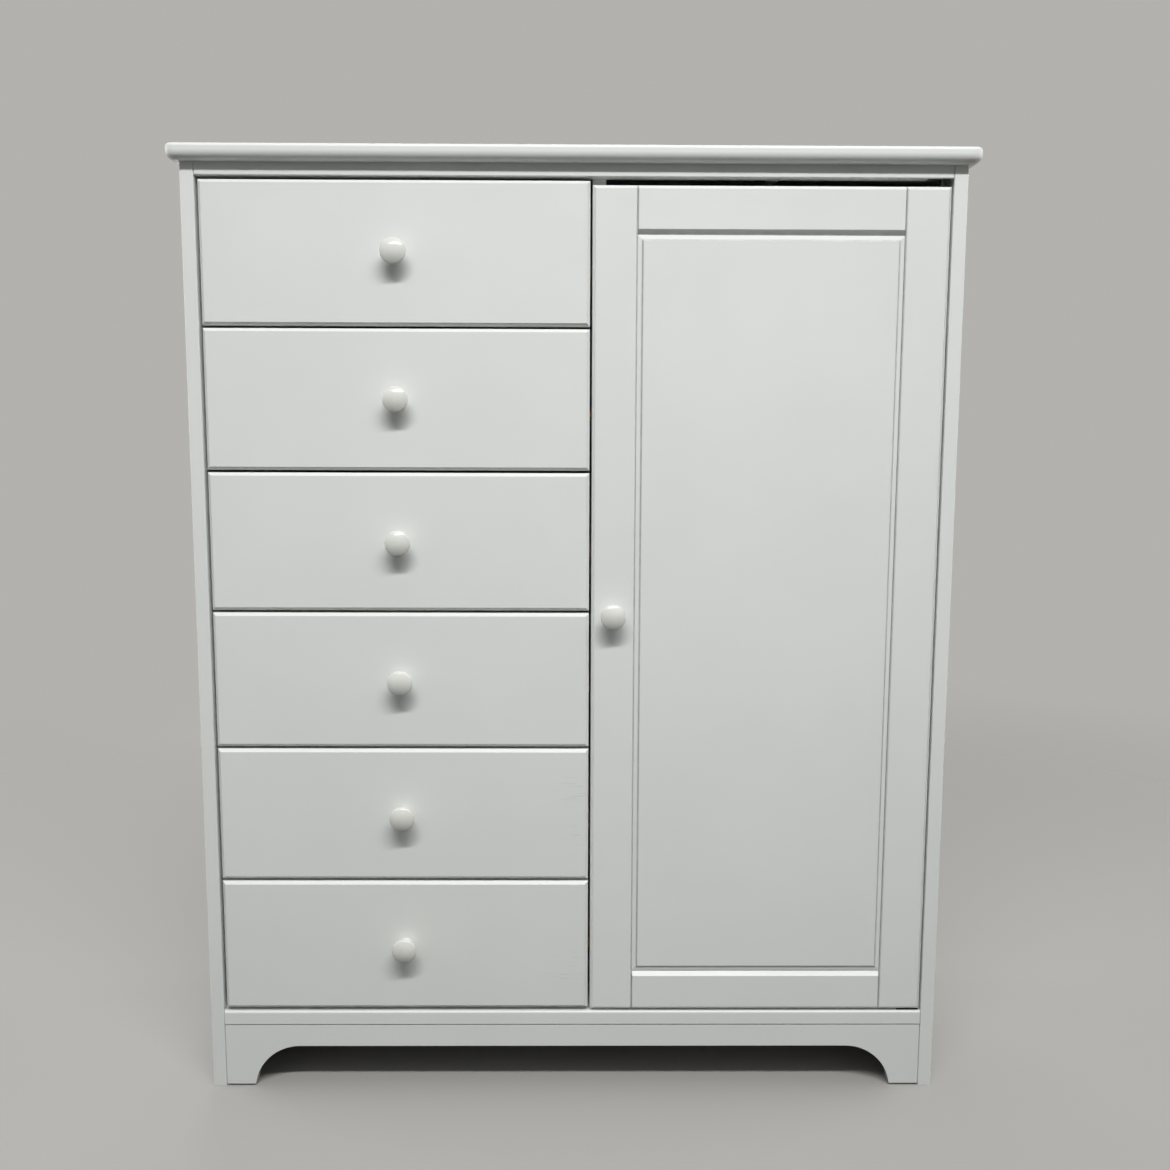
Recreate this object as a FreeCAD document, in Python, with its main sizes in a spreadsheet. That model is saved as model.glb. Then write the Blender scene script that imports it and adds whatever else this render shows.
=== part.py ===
"""White chifforobe: six drawers on the left and a wardrobe behind one door on the right.

Millimetres, +Z up, +X to the right as seen from the front, which faces -Y.
The origin is on the floor, at the middle of the whole box, knobs included.
"""
import FreeCAD, Part
import Sketcher
import math
import os
import re

# Driving sizes, in millimetres
SIZES = {
    # Case
    "body_width": 1118,
    "body_depth": 390,
    "overall_height": 1410,
    "board_thickness": 20,
    "edge_ease": 1.5,
    "top_thickness": 22,
    "top_overhang": 16,
    "top_front_overhang": 19.5,
    "top_upper_radius": 5,
    "top_lower_radius": 12,
    "top_corner_radius": 14,
    "rail_height": 18,
    "deck_thickness": 22,
    "deck_nose_radius": 3,
    "seam_chamfer": 1.5,
    "seam_gap": 0.8,
    "seam_depth": 3.5,
    "back_thickness": 6,
    "back_rabbet": 10,
    "back_recess": 1,
    "base_rail_thickness": 20,
    "back_lap": 35,
    "block_width": 30,
    "block_height": 34,
    # Apron
    "apron_thickness": 20,
    "apron_height": 97,
    "apron_setback": 1,
    "foot_lift": 3,
    "foot_width": 45,
    "arch_radius": 70,
    "arch_height": 65,
    # Drawers
    "drawer_count": 6,
    "drawer_opening_width": 564,
    "drawer_left_gap": 4,
    "drawer_right_gap": 3,
    "drawer_bottom_gap": 5.8,
    "drawer_between_gap": 3.8,
    "drawer_top_gap": 5.2,
    "front_thickness": 20,
    "front_chamfer": 4.5,
    "box_gap": 5,
    "box_lift": 14,
    "box_rear_room": 13,
    "box_top_room": 39,
    "box_side_thickness": 13,
    "box_back_thickness": 13,
    "box_edge_radius": 2,
    "box_bottom_thickness": 5,
    "box_bottom_lift": 10,
    "box_groove_depth": 6,
    "box_groove_play": 0.2,
    # Runners
    "runner_height": 14,
    "runner_projection": 11,
    "runner_front": 45,
    "runner_lift": 62,
    "runner_play": 0.3,
    "runner_side_play": 0.6,
    # Knobs
    "knob_diameter": 37,
    "knob_projection": 29.5,
    "knob_rim_height": 21.7,
    "knob_rim_radius": 3.5,
    "knob_neck_diameter": 19,
    "knob_neck_height": 8,
    "knob_foot_diameter": 22,
    # Door
    "door_thickness": 20,
    "door_left_gap": 3.5,
    "door_right_gap": 2.3,
    "door_bottom_gap": 3,
    "door_top_gap": 11,
    "door_stop_gap": 0.5,
    "stile_width": 64,
    "stile_chamfer": 2,
    "top_rail_height": 68,
    "bottom_rail_height": 62,
    "rail_bevel_width": 7.5,
    "rail_bevel_depth": 6,
    "panel_bevel_depth": 4,
    "panel_bevel_width": 8.5,
    "panel_lip": 2.2,
    "panel_setback": 0.5,
    "panel_play": 0.3,
    "frame_groove_setback": 7,
    "frame_groove_width": 8,
    "frame_groove_depth": 10,
    "frame_groove_play": 0.2,
    "tongue_play": 1,
    # Door pivots
    "pivot_inset": 12,
    "pivot_setback": 10,
    "pivot_plate_length": 34,
    "pivot_plate_width": 10,
    "pivot_plate_thickness": 2.5,
    "pivot_pin_diameter": 6,
    "pivot_pin_play": 0.08,
    "pivot_pin_reach": 12,
    "pivot_collar_diameter": 9,
    "pivot_seat_play": 0.3,
    "bush_diameter": 9.5,
    "bush_depth": 16,
    # Door catch
    "catch_width": 14,
    "catch_depth": 34,
    "catch_height": 46,
    "catch_drop": 160,
    "catch_edge": 2,
    "strike_width": 12,
    "strike_height": 40,
    "strike_thickness": 1.5,
    "strike_play": 0.3,
    # Clothes rod
    "rod_diameter": 25,
    "rod_drop": 61,
    "rod_end_room": 28,
    "rod_play": 0.3,
    "hanger_inset": 34,
    "hanger_thickness": 10,
    "hanger_ring": 4,
    "hanger_stem_width": 18,
    "hanger_plate_length": 46,
    "hanger_plate_width": 26,
    "hanger_plate_thickness": 3,
}

# Sizes and places worked out from the driving ones
WORKED = {
    "front_y": "(knob_projection - body_depth) / 2",
    "inner_half": "body_width / 2 - board_thickness",
    "inner_width": "body_width - 2 * board_thickness",
    "side_height": "overall_height - top_thickness",
    "back_y": "front_y + body_depth - back_recess - back_thickness",
    "deck_bottom": "foot_lift + apron_height",
    "deck_top": "deck_bottom + deck_thickness",
    "rail_bottom": "side_height - rail_height",
    "rail_depth": "door_thickness + door_stop_gap",
    "back_bottom": "deck_bottom - back_lap",
    "arch_centre_x": "inner_half - foot_width - arch_radius",
    "arch_centre_z": "arch_height - arch_radius",
    "arch_foot_x": "arch_centre_x + sqrt(arch_radius ^ 2 - (foot_lift - arch_centre_z) ^ 2)",
    "divider_x": "drawer_opening_width - inner_half",
    "divider_front": "front_y + rail_depth",
    "wardrobe_x": "divider_x + board_thickness",
    "drawer_x": "drawer_left_gap - inner_half",
    "drawer_z": "deck_top + drawer_bottom_gap",
    "front_width": "drawer_opening_width - drawer_left_gap - drawer_right_gap",
    "drawer_room": "rail_bottom - deck_top - drawer_bottom_gap - drawer_top_gap",
    "front_height": "(drawer_room - (drawer_count - 1) * drawer_between_gap) / drawer_count",
    "drawer_pitch": "front_height + drawer_between_gap",
    "box_side_height": "front_height - box_lift - box_top_room",
    "box_left": "box_gap - drawer_left_gap",
    "box_right": "front_width + drawer_right_gap - box_gap",
    "box_length": "back_y - front_y - box_rear_room - front_thickness",
    "box_floor": "box_lift + box_bottom_lift",
    "groove_height": "box_bottom_thickness + 2 * box_groove_play",
    "box_back_z": "box_floor + groove_height",
    "runner_groove_depth": "runner_projection - box_gap + runner_side_play",
    "runner_groove_height": "runner_height + 2 * runner_play",
    "runner_groove_z": "box_lift + runner_lift",
    "runner_z": "drawer_z + runner_groove_z + runner_play",
    "runner_length": "front_thickness + box_length - runner_front",
    "knob_radius": "knob_diameter / 2",
    "knob_rim_x": "knob_radius - knob_rim_radius",
    "knob_crown": "knob_projection - knob_rim_height",
    "knob_rise": "knob_crown - knob_rim_radius",
    "knob_dome_radius": "(knob_rim_x ^ 2 + knob_crown ^ 2 - knob_rim_radius ^ 2) / 2 / knob_rise",
    "door_x": "divider_x - drawer_right_gap + door_left_gap",
    "door_z": "deck_top + door_bottom_gap",
    "door_width": "inner_half - door_right_gap - door_x",
    "door_height": "rail_bottom - door_top_gap - door_z",
    "panel_width": "door_width - 2 * stile_width",
    "panel_height": "door_height - top_rail_height - bottom_rail_height",
    "tongue_front": "frame_groove_setback + frame_groove_play",
    "tongue_thickness": "frame_groove_width - 2 * frame_groove_play",
    "tongue_reach": "frame_groove_depth - tongue_play",
    "pivot_x": "door_x + door_width - pivot_inset",
    "pivot_y": "front_y + pivot_setback",
    "pivot_plate_x": "pivot_x + pivot_inset - pivot_plate_length",
    "pin_radius": "pivot_pin_diameter / 2",
    "bush_radius": "bush_diameter / 2",
    "bush_bore": "pin_radius + pivot_pin_play",
    "catch_z": "door_z + door_height - catch_drop",
    "strike_x": "wardrobe_x + (catch_width - strike_width) / 2",
    "rod_x": "(wardrobe_x + inner_half) / 2",
    "rod_z": "side_height - rod_drop",
    "rod_front": "divider_front + rod_end_room",
    "rod_length": "back_y - rod_end_room - rod_front",
    "rod_radius": "rod_diameter / 2",
    "hanger_bore": "rod_radius + rod_play",
}

doc = FreeCAD.newDocument("chifforobe")
pieces = []


def fill_sheet(name, cells, put):
    """A sheet with one named cell for each size."""
    sheet = doc.addObject("Spreadsheet::Sheet", name)
    for row, (alias, content) in enumerate(cells.items(), 1):
        sheet.set(f"A{row}", alias)
        sheet.set(f"B{row}", put(content))
        sheet.setAlias(f"B{row}", alias)
    doc.recompute()
    return sheet


def formula(words):
    """The words of a size with each name put as its sheet's cell."""
    def cell(match):
        word = match.group()
        if word in SIZES:
            return f"dims.{word}"
        if word in WORKED:
            return f"worked.{word}"
        return word
    return re.sub(r"[a-z][a-z_]*", cell, words)


dims = fill_sheet("dims", SIZES, str)
worked = fill_sheet("worked", WORKED, lambda words: "=" + formula(words))


def worth(words):
    """The present value of a size in words."""
    return float(dims.evalExpression(formula(words)))


def bind(feature, names, sizes):
    """Ties each named property of a feature to its size in words."""
    for name, words in zip(names, sizes):
        feature.setExpression(name, formula(words))


PLACE = ("Placement.Base.x", "Placement.Base.y", "Placement.Base.z")
QUARTER_TURN = 90
TOWARDS_BACK = FreeCAD.Rotation(FreeCAD.Vector(1, 0, 0), -QUARTER_TURN)


def new_piece(name, place):
    """An empty body whose own zero point stands at the given place."""
    body = doc.addObject("PartDesign::Body", name)
    body.Label = name
    bind(body, PLACE, place)
    pieces.append(body)
    return body


def block(body, name, corner, size, cut=False):
    """A box added to the body, or cut out of it."""
    kind = "PartDesign::SubtractiveBox" if cut else "PartDesign::AdditiveBox"
    box = body.newObject(kind, f"{body.Name}_{name}")
    bind(box, ("Length", "Width", "Height"), size)
    bind(box, PLACE, corner)
    doc.recompute()
    return box


def peg(body, name, foot, radius, height, cut=False, lying=False):
    """A cylinder, upright or lying towards the back, added to the body or cut out of it."""
    kind = "PartDesign::SubtractiveCylinder" if cut else "PartDesign::AdditiveCylinder"
    cylinder = body.newObject(kind, f"{body.Name}_{name}")
    if lying:
        cylinder.Placement.Rotation = TOWARDS_BACK
    bind(cylinder, ("Radius", "Height"), (radius, height))
    bind(cylinder, PLACE, foot)
    doc.recompute()
    return cylinder


def board(name, place, size):
    """A piece that starts as one plain board."""
    body = new_piece(name, place)
    block(body, "board", ("0", "0", "0"), size)
    return body


NEAR = 1e-4


def lies_on(edge, planes):
    """Whether all of an edge lies on each of the planes, such as y=0."""
    for axis, words in planes.items():
        level = worth(words)
        low = getattr(edge.BoundBox, f"{axis.upper()}Min")
        high = getattr(edge.BoundBox, f"{axis.upper()}Max")
        if abs(low - level) > NEAR or abs(high - level) > NEAR:
            return False
    return True


def edges_on(body, *choices, leave=()):
    """Names of the tip's edges that lie on any choice of planes, and on none of those to leave."""
    names = []
    for number, edge in enumerate(body.Tip.Shape.Edges, 1):
        chosen = any(lies_on(edge, planes) for planes in choices)
        if chosen and not any(lies_on(edge, planes) for planes in leave):
            names.append(f"Edge{number}")
    return names


def dress(body, kind, name, edges, prop, size):
    """A fillet or chamfer on the named edges of the body's tip."""
    base = body.Tip
    feature = body.newObject(f"PartDesign::{kind}", f"{body.Name}_{name}")
    feature.Base = (base, edges)
    bind(feature, (prop,), (size,))
    doc.recompute()
    return feature


def fillet(body, name, edges, radius):
    """Rounds the named edges."""
    return dress(body, "Fillet", name, edges, "Radius", radius)


def chamfer(body, name, edges, size):
    """Bevels the named edges at 45 degrees."""
    return dress(body, "Chamfer", name, edges, "Size", size)


def new_sketch(body, name, plane):
    """A sketch on one of the body's own origin planes."""
    sketch = body.newObject("Sketcher::SketchObject", f"{body.Name}_{name}")
    support = next(item for item in body.Origin.OriginFeatures if item.Role == plane)
    sketch.AttachmentSupport = [(support, "")]
    sketch.MapMode = "FlatFace"
    return sketch


OUT = FreeCAD.Vector(0, 0, 1)
FULL_TURN = 360
START, END, CENTRE = range(1, 4)
ORIGIN = -START


def tie(sketch, kind, *arguments, size=None):
    """Adds a constraint, with its value tied to a size in words where it has one."""
    if size is None:
        sketch.addConstraint(Sketcher.Constraint(kind, *arguments))
        return
    number = sketch.addConstraint(Sketcher.Constraint(kind, *arguments, worth(size)))
    sketch.setExpression(f"Constraints[{number}]", formula(size))


def pin_point(sketch, item, end, place):
    """Ties a point of a sketch to its place, measured from the origin."""
    tie(sketch, "DistanceX", ORIGIN, START, item, end, size=place[0])
    tie(sketch, "DistanceY", ORIGIN, START, item, end, size=place[1])


def spot(place):
    """The present place of a sketch point given in words."""
    return FreeCAD.Vector(worth(place[0]), worth(place[1]), 0)


def draw_outline(sketch, corners):
    """A closed outline of straight lines through the corners."""
    count = len(corners)
    for number in range(count):
        start = spot(corners[number])
        end = spot(corners[(number + 1) % count])
        sketch.addGeometry(Part.LineSegment(start, end))
    for number in range(count):
        tie(sketch, "Coincident", number, END, (number + 1) % count, START)
    for number, corner in enumerate(corners):
        pin_point(sketch, number, START, corner)
    doc.recompute()


def pad(body, name, sketch, length, reverse=False):
    """Pads a sketch to a length."""
    feature = body.newObject("PartDesign::Pad", f"{body.Name}_{name}")
    feature.Profile = sketch
    feature.Reversed = reverse
    bind(feature, ("Length",), (length,))
    doc.recompute()
    return feature


PIVOT_PLATE = ("pivot_plate_length", "pivot_plate_width", "pivot_plate_thickness")
# Where the plate and the bush start, up the door, at each of its ends
PIVOT_ENDS = {
    "lower": ("0", "0"),
    "upper": ("door_height - pivot_plate_thickness", "door_height - bush_depth"),
}


def end_seams(body, left, right, bottom, height):
    """Narrow slots down a board's two ends, where its joints show as dark lines."""
    size = ("seam_gap", "seam_depth", height)
    block(body, "left_seam", (left, "0", bottom), size, cut=True)
    block(body, "right_seam", (f"{right} - seam_gap", "0", bottom), size, cut=True)


# Case
def make_top():
    """Top panel with a rounded nose on its front and both ends."""
    size = ("body_width + 2 * top_overhang", "body_depth + top_front_overhang", "top_thickness")
    place = ("-body_width / 2 - top_overhang", "front_y - top_front_overhang", "side_height")
    body = board("top_panel", place, size)
    ends = ({"x": "0", "y": "0"}, {"x": size[0], "y": "0"})
    fillet(body, "corners", edges_on(body, *ends), "top_corner_radius")
    back = ({"y": size[1]},)
    fillet(body, "lower_nose", edges_on(body, {"z": "0"}, leave=back), "top_lower_radius")
    fillet(body, "upper_nose", edges_on(body, {"z": size[2]}, leave=back), "top_upper_radius")


def make_side(name, place_x, rabbet_x):
    """Side board down to the floor, with a rabbet at the back for the back panel."""
    size = ("board_thickness", "body_depth", "side_height")
    body = board(name, (place_x, "front_y", "0"), size)
    fillet(body, "ease", edges_on(body, {"x": "0", "y": "0"}, {"x": size[0], "y": "0"}), "edge_ease")
    corner = (rabbet_x, "back_y - front_y", "0")
    rabbet = ("back_rabbet", "back_thickness + back_recess", "side_height")
    block(body, "rabbet", corner, rabbet, cut=True)


def make_divider():
    """Divider between drawers and wardrobe, set back behind the door that closes against it."""
    size = ("board_thickness", "back_y - divider_front", "side_height - deck_top")
    body = board("centre_divider", ("divider_x", "divider_front", "deck_top"), size)
    fillet(body, "ease", edges_on(body, {"x": "0", "y": "0"}, {"x": size[0], "y": "0"}), "edge_ease")


def make_deck():
    """Deck that the drawers and the door stand over, with a seat for the lower pivot."""
    size = ("inner_width", "back_y - front_y", "deck_thickness")
    body = board("bottom_panel", ("-inner_half", "front_y", "deck_bottom"), size)
    fillet(body, "nose", edges_on(body, {"y": "0", "z": size[2]}), "deck_nose_radius")
    chamfer(body, "seam", edges_on(body, {"y": "0", "z": "0"}), "seam_chamfer")
    corner = ("pivot_plate_x + inner_half", "pivot_setback - pivot_plate_width / 2",
              "deck_thickness - pivot_plate_thickness")
    block(body, "seat", corner, PIVOT_PLATE, cut=True)
    end_seams(body, "0", size[0], "0", size[2])


def make_top_rail():
    """Narrow rail under the top, with a seat for the upper pivot."""
    size = ("inner_width", "rail_depth", "rail_height")
    body = board("top_front_rail", ("-inner_half", "front_y", "rail_bottom"), size)
    fillet(body, "ease", edges_on(body, {"y": "0", "z": "0"}), "edge_ease")
    corner = ("pivot_plate_x + inner_half", "pivot_setback - pivot_plate_width / 2", "0")
    block(body, "seat", corner, PIVOT_PLATE, cut=True)
    end_seams(body, "0", size[0], "0", size[2])


def make_apron():
    """Front apron: two feet with a round-cornered arch between them."""
    body = new_piece("front_apron", ("0", "front_y + apron_setback", "0"))
    sketch = new_sketch(body, "outline", "XZ_Plane")
    left_arc_x, right_arc_x = "-arch_centre_x", "arch_centre_x"
    left_foot, right_foot = ("-arch_foot_x", "foot_lift"), ("arch_foot_x", "foot_lift")
    crown_left, crown_right = (left_arc_x, "arch_height"), (right_arc_x, "arch_height")
    runs = (
        (("-inner_half", "foot_lift"), left_foot),
        (crown_left, crown_right),
        (right_foot, ("inner_half", "foot_lift")),
        (("inner_half", "foot_lift"), ("inner_half", "deck_bottom")),
        (("inner_half", "deck_bottom"), ("-inner_half", "deck_bottom")),
        (("-inner_half", "deck_bottom"), ("-inner_half", "foot_lift")),
    )
    for start, end in runs:
        sketch.addGeometry(Part.LineSegment(spot(start), spot(end)))
    foot_line, crown_line, far_foot_line, right_line, top_line, left_line = range(len(runs))
    centre_left, centre_right = spot((left_arc_x, "arch_centre_z")), spot((right_arc_x, "arch_centre_z"))
    circle_left = Part.Circle(centre_left, OUT, worth("arch_radius"))
    circle_right = Part.Circle(centre_right, OUT, worth("arch_radius"))
    up_angle = circle_left.parameter(spot(crown_left))
    left_angle = circle_left.parameter(spot(left_foot))
    right_angle = circle_right.parameter(spot(right_foot))
    left_arc = sketch.addGeometry(Part.ArcOfCircle(circle_left, up_angle, left_angle))
    right_arc = sketch.addGeometry(Part.ArcOfCircle(circle_right, right_angle, up_angle))
    tie(sketch, "Coincident", foot_line, END, left_arc, END)
    tie(sketch, "Coincident", left_arc, START, crown_line, START)
    tie(sketch, "Coincident", crown_line, END, right_arc, END)
    tie(sketch, "Coincident", right_arc, START, far_foot_line, START)
    tie(sketch, "Coincident", far_foot_line, END, right_line, START)
    tie(sketch, "Coincident", right_line, END, top_line, START)
    tie(sketch, "Coincident", top_line, END, left_line, START)
    tie(sketch, "Coincident", left_line, END, foot_line, START)
    pin_point(sketch, foot_line, START, runs[foot_line][0])
    pin_point(sketch, right_line, START, runs[right_line][0])
    pin_point(sketch, top_line, START, runs[top_line][0])
    pin_point(sketch, left_line, START, runs[left_line][0])
    pin_point(sketch, left_arc, CENTRE, (left_arc_x, "arch_centre_z"))
    pin_point(sketch, right_arc, CENTRE, (right_arc_x, "arch_centre_z"))
    tie(sketch, "Radius", left_arc, size="arch_radius")
    tie(sketch, "Radius", right_arc, size="arch_radius")
    tie(sketch, "DistanceX", ORIGIN, START, crown_line, START, size=left_arc_x)
    tie(sketch, "DistanceX", ORIGIN, START, crown_line, END, size=right_arc_x)
    tie(sketch, "Horizontal", foot_line)
    tie(sketch, "Horizontal", far_foot_line)
    doc.recompute()
    pad(body, "board", sketch, "apron_thickness", reverse=True)
    end_seams(body, "-inner_half", "inner_half", "foot_lift", "apron_height")
    block(body, "top_seam", ("-inner_half", "0", "deck_bottom - seam_gap"),
          ("inner_width", "seam_depth", "seam_gap"), cut=True)


def make_back():
    """Back panel in the sides' rabbets, the rail under the deck that carries it, and the glue blocks."""
    board("base_back_rail", ("-inner_half", "back_y - base_rail_thickness", "foot_lift"),
          ("inner_width", "base_rail_thickness", "apron_height"))
    board("back_panel", ("-inner_half - back_rabbet", "back_y", "back_bottom"),
          ("inner_width + 2 * back_rabbet", "back_thickness", "side_height - back_bottom"))
    body = new_piece("corner_blocks", ("0", "0", "deck_bottom - block_height"))
    rows = {
        "front": "front_y + apron_setback + apron_thickness",
        "back": "back_y - base_rail_thickness - block_width",
    }
    columns = {"left": "-inner_half", "right": "inner_half - block_width"}
    size = ("block_width", "block_width", "block_height")
    for row, place_y in rows.items():
        for column, place_x in columns.items():
            block(body, f"{row}_{column}", (place_x, place_y, "0"), size)


def make_runners(name, place_x, tip_x):
    """One column of wooden runners, one for each drawer, with their front corners cut for an easy start."""
    body = board(name, (place_x, "front_y + runner_front", "runner_z"),
                 ("runner_projection", "runner_length", "runner_height"))
    chamfer(body, "lead", edges_on(body, {"x": tip_x, "y": "0"}), "edge_ease")
    column = body.newObject("PartDesign::LinearPattern", f"{name}_column")
    column.Originals = [item for item in body.Group if item is not column]
    upright = next(item for item in body.Origin.OriginFeatures if item.Role == "Z_Axis")
    column.Direction = (upright, [""])
    bind(column, ("Length", "Occurrences"), ("(drawer_count - 1) * drawer_pitch", "drawer_count"))
    body.Tip = column
    doc.recompute()


# Drawers
def make_knob(name, place):
    """Turned mushroom knob: a tapered neck, a flare up to a round rim, and a dome."""
    body = new_piece(name, place)
    sketch = new_sketch(body, "profile", "XY_Plane")
    foot = ("knob_foot_diameter / 2", "0")
    neck = ("knob_neck_diameter / 2", "-knob_neck_height")
    pole = ("0", "-knob_projection")
    rim_centre = ("knob_rim_x", "-knob_rim_height")
    dome_centre = ("0", "knob_dome_radius - knob_projection")
    rim = Part.Circle(spot(rim_centre), OUT, worth("knob_rim_radius"))
    dome = Part.Circle(spot(dome_centre), OUT, worth("knob_dome_radius"))
    crest = spot(dome_centre) + (spot(rim_centre) - spot(dome_centre)).normalize() * worth("knob_dome_radius")
    to_neck = spot(neck) - spot(rim_centre)
    swing = math.acos(worth("knob_rim_radius") / to_neck.Length)
    touch = math.atan2(to_neck.y, to_neck.x) - swing
    crest_angle = rim.parameter(crest)
    axis_line = sketch.addGeometry(Part.LineSegment(spot(pole), spot(("0", "0"))))
    base_line = sketch.addGeometry(Part.LineSegment(spot(("0", "0")), spot(foot)))
    neck_line = sketch.addGeometry(Part.LineSegment(spot(foot), spot(neck)))
    flare_line = sketch.addGeometry(Part.LineSegment(spot(neck), rim.value(touch)))
    rim_arc = sketch.addGeometry(Part.ArcOfCircle(rim, crest_angle, touch + 2 * math.pi))
    dome_arc = sketch.addGeometry(Part.ArcOfCircle(dome, dome.parameter(spot(pole)), dome.parameter(crest)))
    tie(sketch, "Coincident", axis_line, END, base_line, START)
    tie(sketch, "Coincident", base_line, END, neck_line, START)
    tie(sketch, "Coincident", neck_line, END, flare_line, START)
    tie(sketch, "Tangent", flare_line, END, rim_arc, END)
    tie(sketch, "Tangent", rim_arc, START, dome_arc, END)
    tie(sketch, "Coincident", dome_arc, START, axis_line, START)
    tie(sketch, "Coincident", axis_line, END, ORIGIN, START)
    tie(sketch, "Vertical", axis_line)
    pin_point(sketch, neck_line, START, foot)
    pin_point(sketch, neck_line, END, neck)
    pin_point(sketch, rim_arc, CENTRE, rim_centre)
    pin_point(sketch, dome_arc, CENTRE, dome_centre)
    tie(sketch, "Radius", rim_arc, size="knob_rim_radius")
    doc.recompute()
    turned = body.newObject("PartDesign::Revolution", f"{name}_turned")
    turned.Profile = sketch
    turned.ReferenceAxis = (sketch, ["V_Axis"])
    turned.Angle = FULL_TURN
    doc.recompute()


def make_drawer(number):
    """One drawer: front and knob, grooved sides, back and bottom."""
    name = f"drawer_{number}"
    floor = f"drawer_z + (drawer_count - {number}) * drawer_pitch"

    def place(x, y, z):
        return (f"drawer_x + {x}", f"front_y + {y}", f"{floor} + {z}")

    front_size = ("front_width", "front_thickness", "front_height")
    front = board(f"{name}_front", place("0", "0", "0"), front_size)
    chamfer(front, "bevel", edges_on(front, {"y": "0"}), "front_chamfer")
    groove_width = "box_right - box_left - 2 * (box_side_thickness - box_groove_depth)"
    groove_x = "box_left + box_side_thickness - box_groove_depth"
    block(front, "groove", (groove_x, "front_thickness - box_groove_depth", "box_floor"),
          (groove_width, "box_groove_depth", "groove_height"), cut=True)

    make_knob(f"{name}_knob", place("front_width / 2", "0", "front_height / 2"))

    side_size = ("box_side_thickness", "box_length", "box_side_height")
    inside = "box_side_thickness - box_groove_depth"
    sides = {
        "left": ("box_left", "0", inside),
        "right": ("box_right - box_side_thickness", "box_side_thickness - runner_groove_depth", "0"),
    }
    for hand, (side_x, runner_groove_x, bottom_groove_x) in sides.items():
        side = board(f"{name}_{hand}_side", place(side_x, "front_thickness", "box_lift"), side_size)
        top_edges = edges_on(side, {"x": "0", "z": side_size[2]}, {"x": side_size[0], "z": side_size[2]})
        fillet(side, "ease", top_edges, "box_edge_radius")
        stop = "runner_front - front_thickness - runner_play"
        block(side, "runner_groove", (runner_groove_x, stop, "runner_lift"),
              ("runner_groove_depth", f"box_length - ({stop})", "runner_groove_height"), cut=True)
        block(side, "bottom_groove", (bottom_groove_x, "0", "box_bottom_lift"),
              ("box_groove_depth", "box_length", "groove_height"), cut=True)

    back_y = "front_thickness + box_length - box_back_thickness"
    back_size = ("box_right - box_left - 2 * box_side_thickness", "box_back_thickness",
                 "box_lift + box_side_height - box_back_z")
    back = board(f"{name}_back", place("box_left + box_side_thickness", back_y, "box_back_z"), back_size)
    top_edges = edges_on(back, {"y": "0", "z": back_size[2]}, {"y": back_size[1], "z": back_size[2]})
    fillet(back, "ease", top_edges, "box_edge_radius")

    board(f"{name}_bottom",
          place(f"{groove_x} + box_groove_play", "front_thickness - box_groove_depth + box_groove_play",
                "box_floor + box_groove_play"),
          (f"{groove_width} - 2 * box_groove_play", "box_length + box_groove_depth - box_groove_play",
           "box_bottom_thickness"))


# Door
def make_stile(name, place_x, turned_round):
    """Upright of the door's frame, grooved on its inner edge."""
    body = new_piece(name, (place_x, "front_y", "door_z"))
    sketch = new_sketch(body, "section", "XY_Plane")
    groove_back = "frame_groove_setback + frame_groove_width"
    section = [
        ("0", "0"),
        ("stile_width - stile_chamfer", "0"),
        ("stile_width", "stile_chamfer"),
        ("stile_width", "frame_groove_setback"),
        ("stile_width - frame_groove_depth", "frame_groove_setback"),
        ("stile_width - frame_groove_depth", groove_back),
        ("stile_width", groove_back),
        ("stile_width", "door_thickness"),
        ("0", "door_thickness"),
    ]
    outer_x = "0"
    if turned_round:
        section = [(f"stile_width - ({x})", y) for x, y in section]
        outer_x = "stile_width"
    draw_outline(sketch, section)
    pad(body, "length", sketch, "door_height")
    outer_edges = ({"x": outer_x, "y": "0"}, {"y": "0", "z": "0"}, {"y": "0", "z": "door_height"})
    chamfer(body, "bevel", edges_on(body, *outer_edges), "front_chamfer")
    return body


def make_door_rail(name, place_z, height, inner_up):
    """Cross rail of the door's frame: bevelled towards the panel, with a stub tenon at each end."""
    body = new_piece(name, ("door_x + stile_width", "front_y", place_z))
    sketch = new_sketch(body, "section", "YZ_Plane")
    groove_back = "frame_groove_setback + frame_groove_width"
    section = [
        ("0", "rail_bevel_width"),
        ("rail_bevel_depth", "0"),
        ("frame_groove_setback", "0"),
        ("frame_groove_setback", "frame_groove_depth"),
        (groove_back, "frame_groove_depth"),
        (groove_back, "0"),
        ("door_thickness", "0"),
        ("door_thickness", height),
        ("0", height),
    ]
    outer_z = height
    tenon_z = "frame_groove_depth"
    if inner_up:
        section = [(y, f"{height} - ({z})") for y, z in section]
        outer_z = "0"
        tenon_z = "0"
    draw_outline(sketch, section)
    pad(body, "length", sketch, "panel_width")
    chamfer(body, "bevel", edges_on(body, {"y": "0", "z": outer_z}), "front_chamfer")
    seam_edges = ({"x": "0", "y": "0"}, {"x": "panel_width", "y": "0"})
    chamfer(body, "seam", edges_on(body, *seam_edges), "stile_chamfer")
    end_seams(body, "0", "panel_width", "0", height)
    tenon = ("tongue_reach", "tongue_thickness", f"{height} - frame_groove_depth")
    block(body, "left_tenon", ("-tongue_reach", "tongue_front", tenon_z), tenon)
    block(body, "right_tenon", ("panel_width", "tongue_front", tenon_z), tenon)


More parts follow.
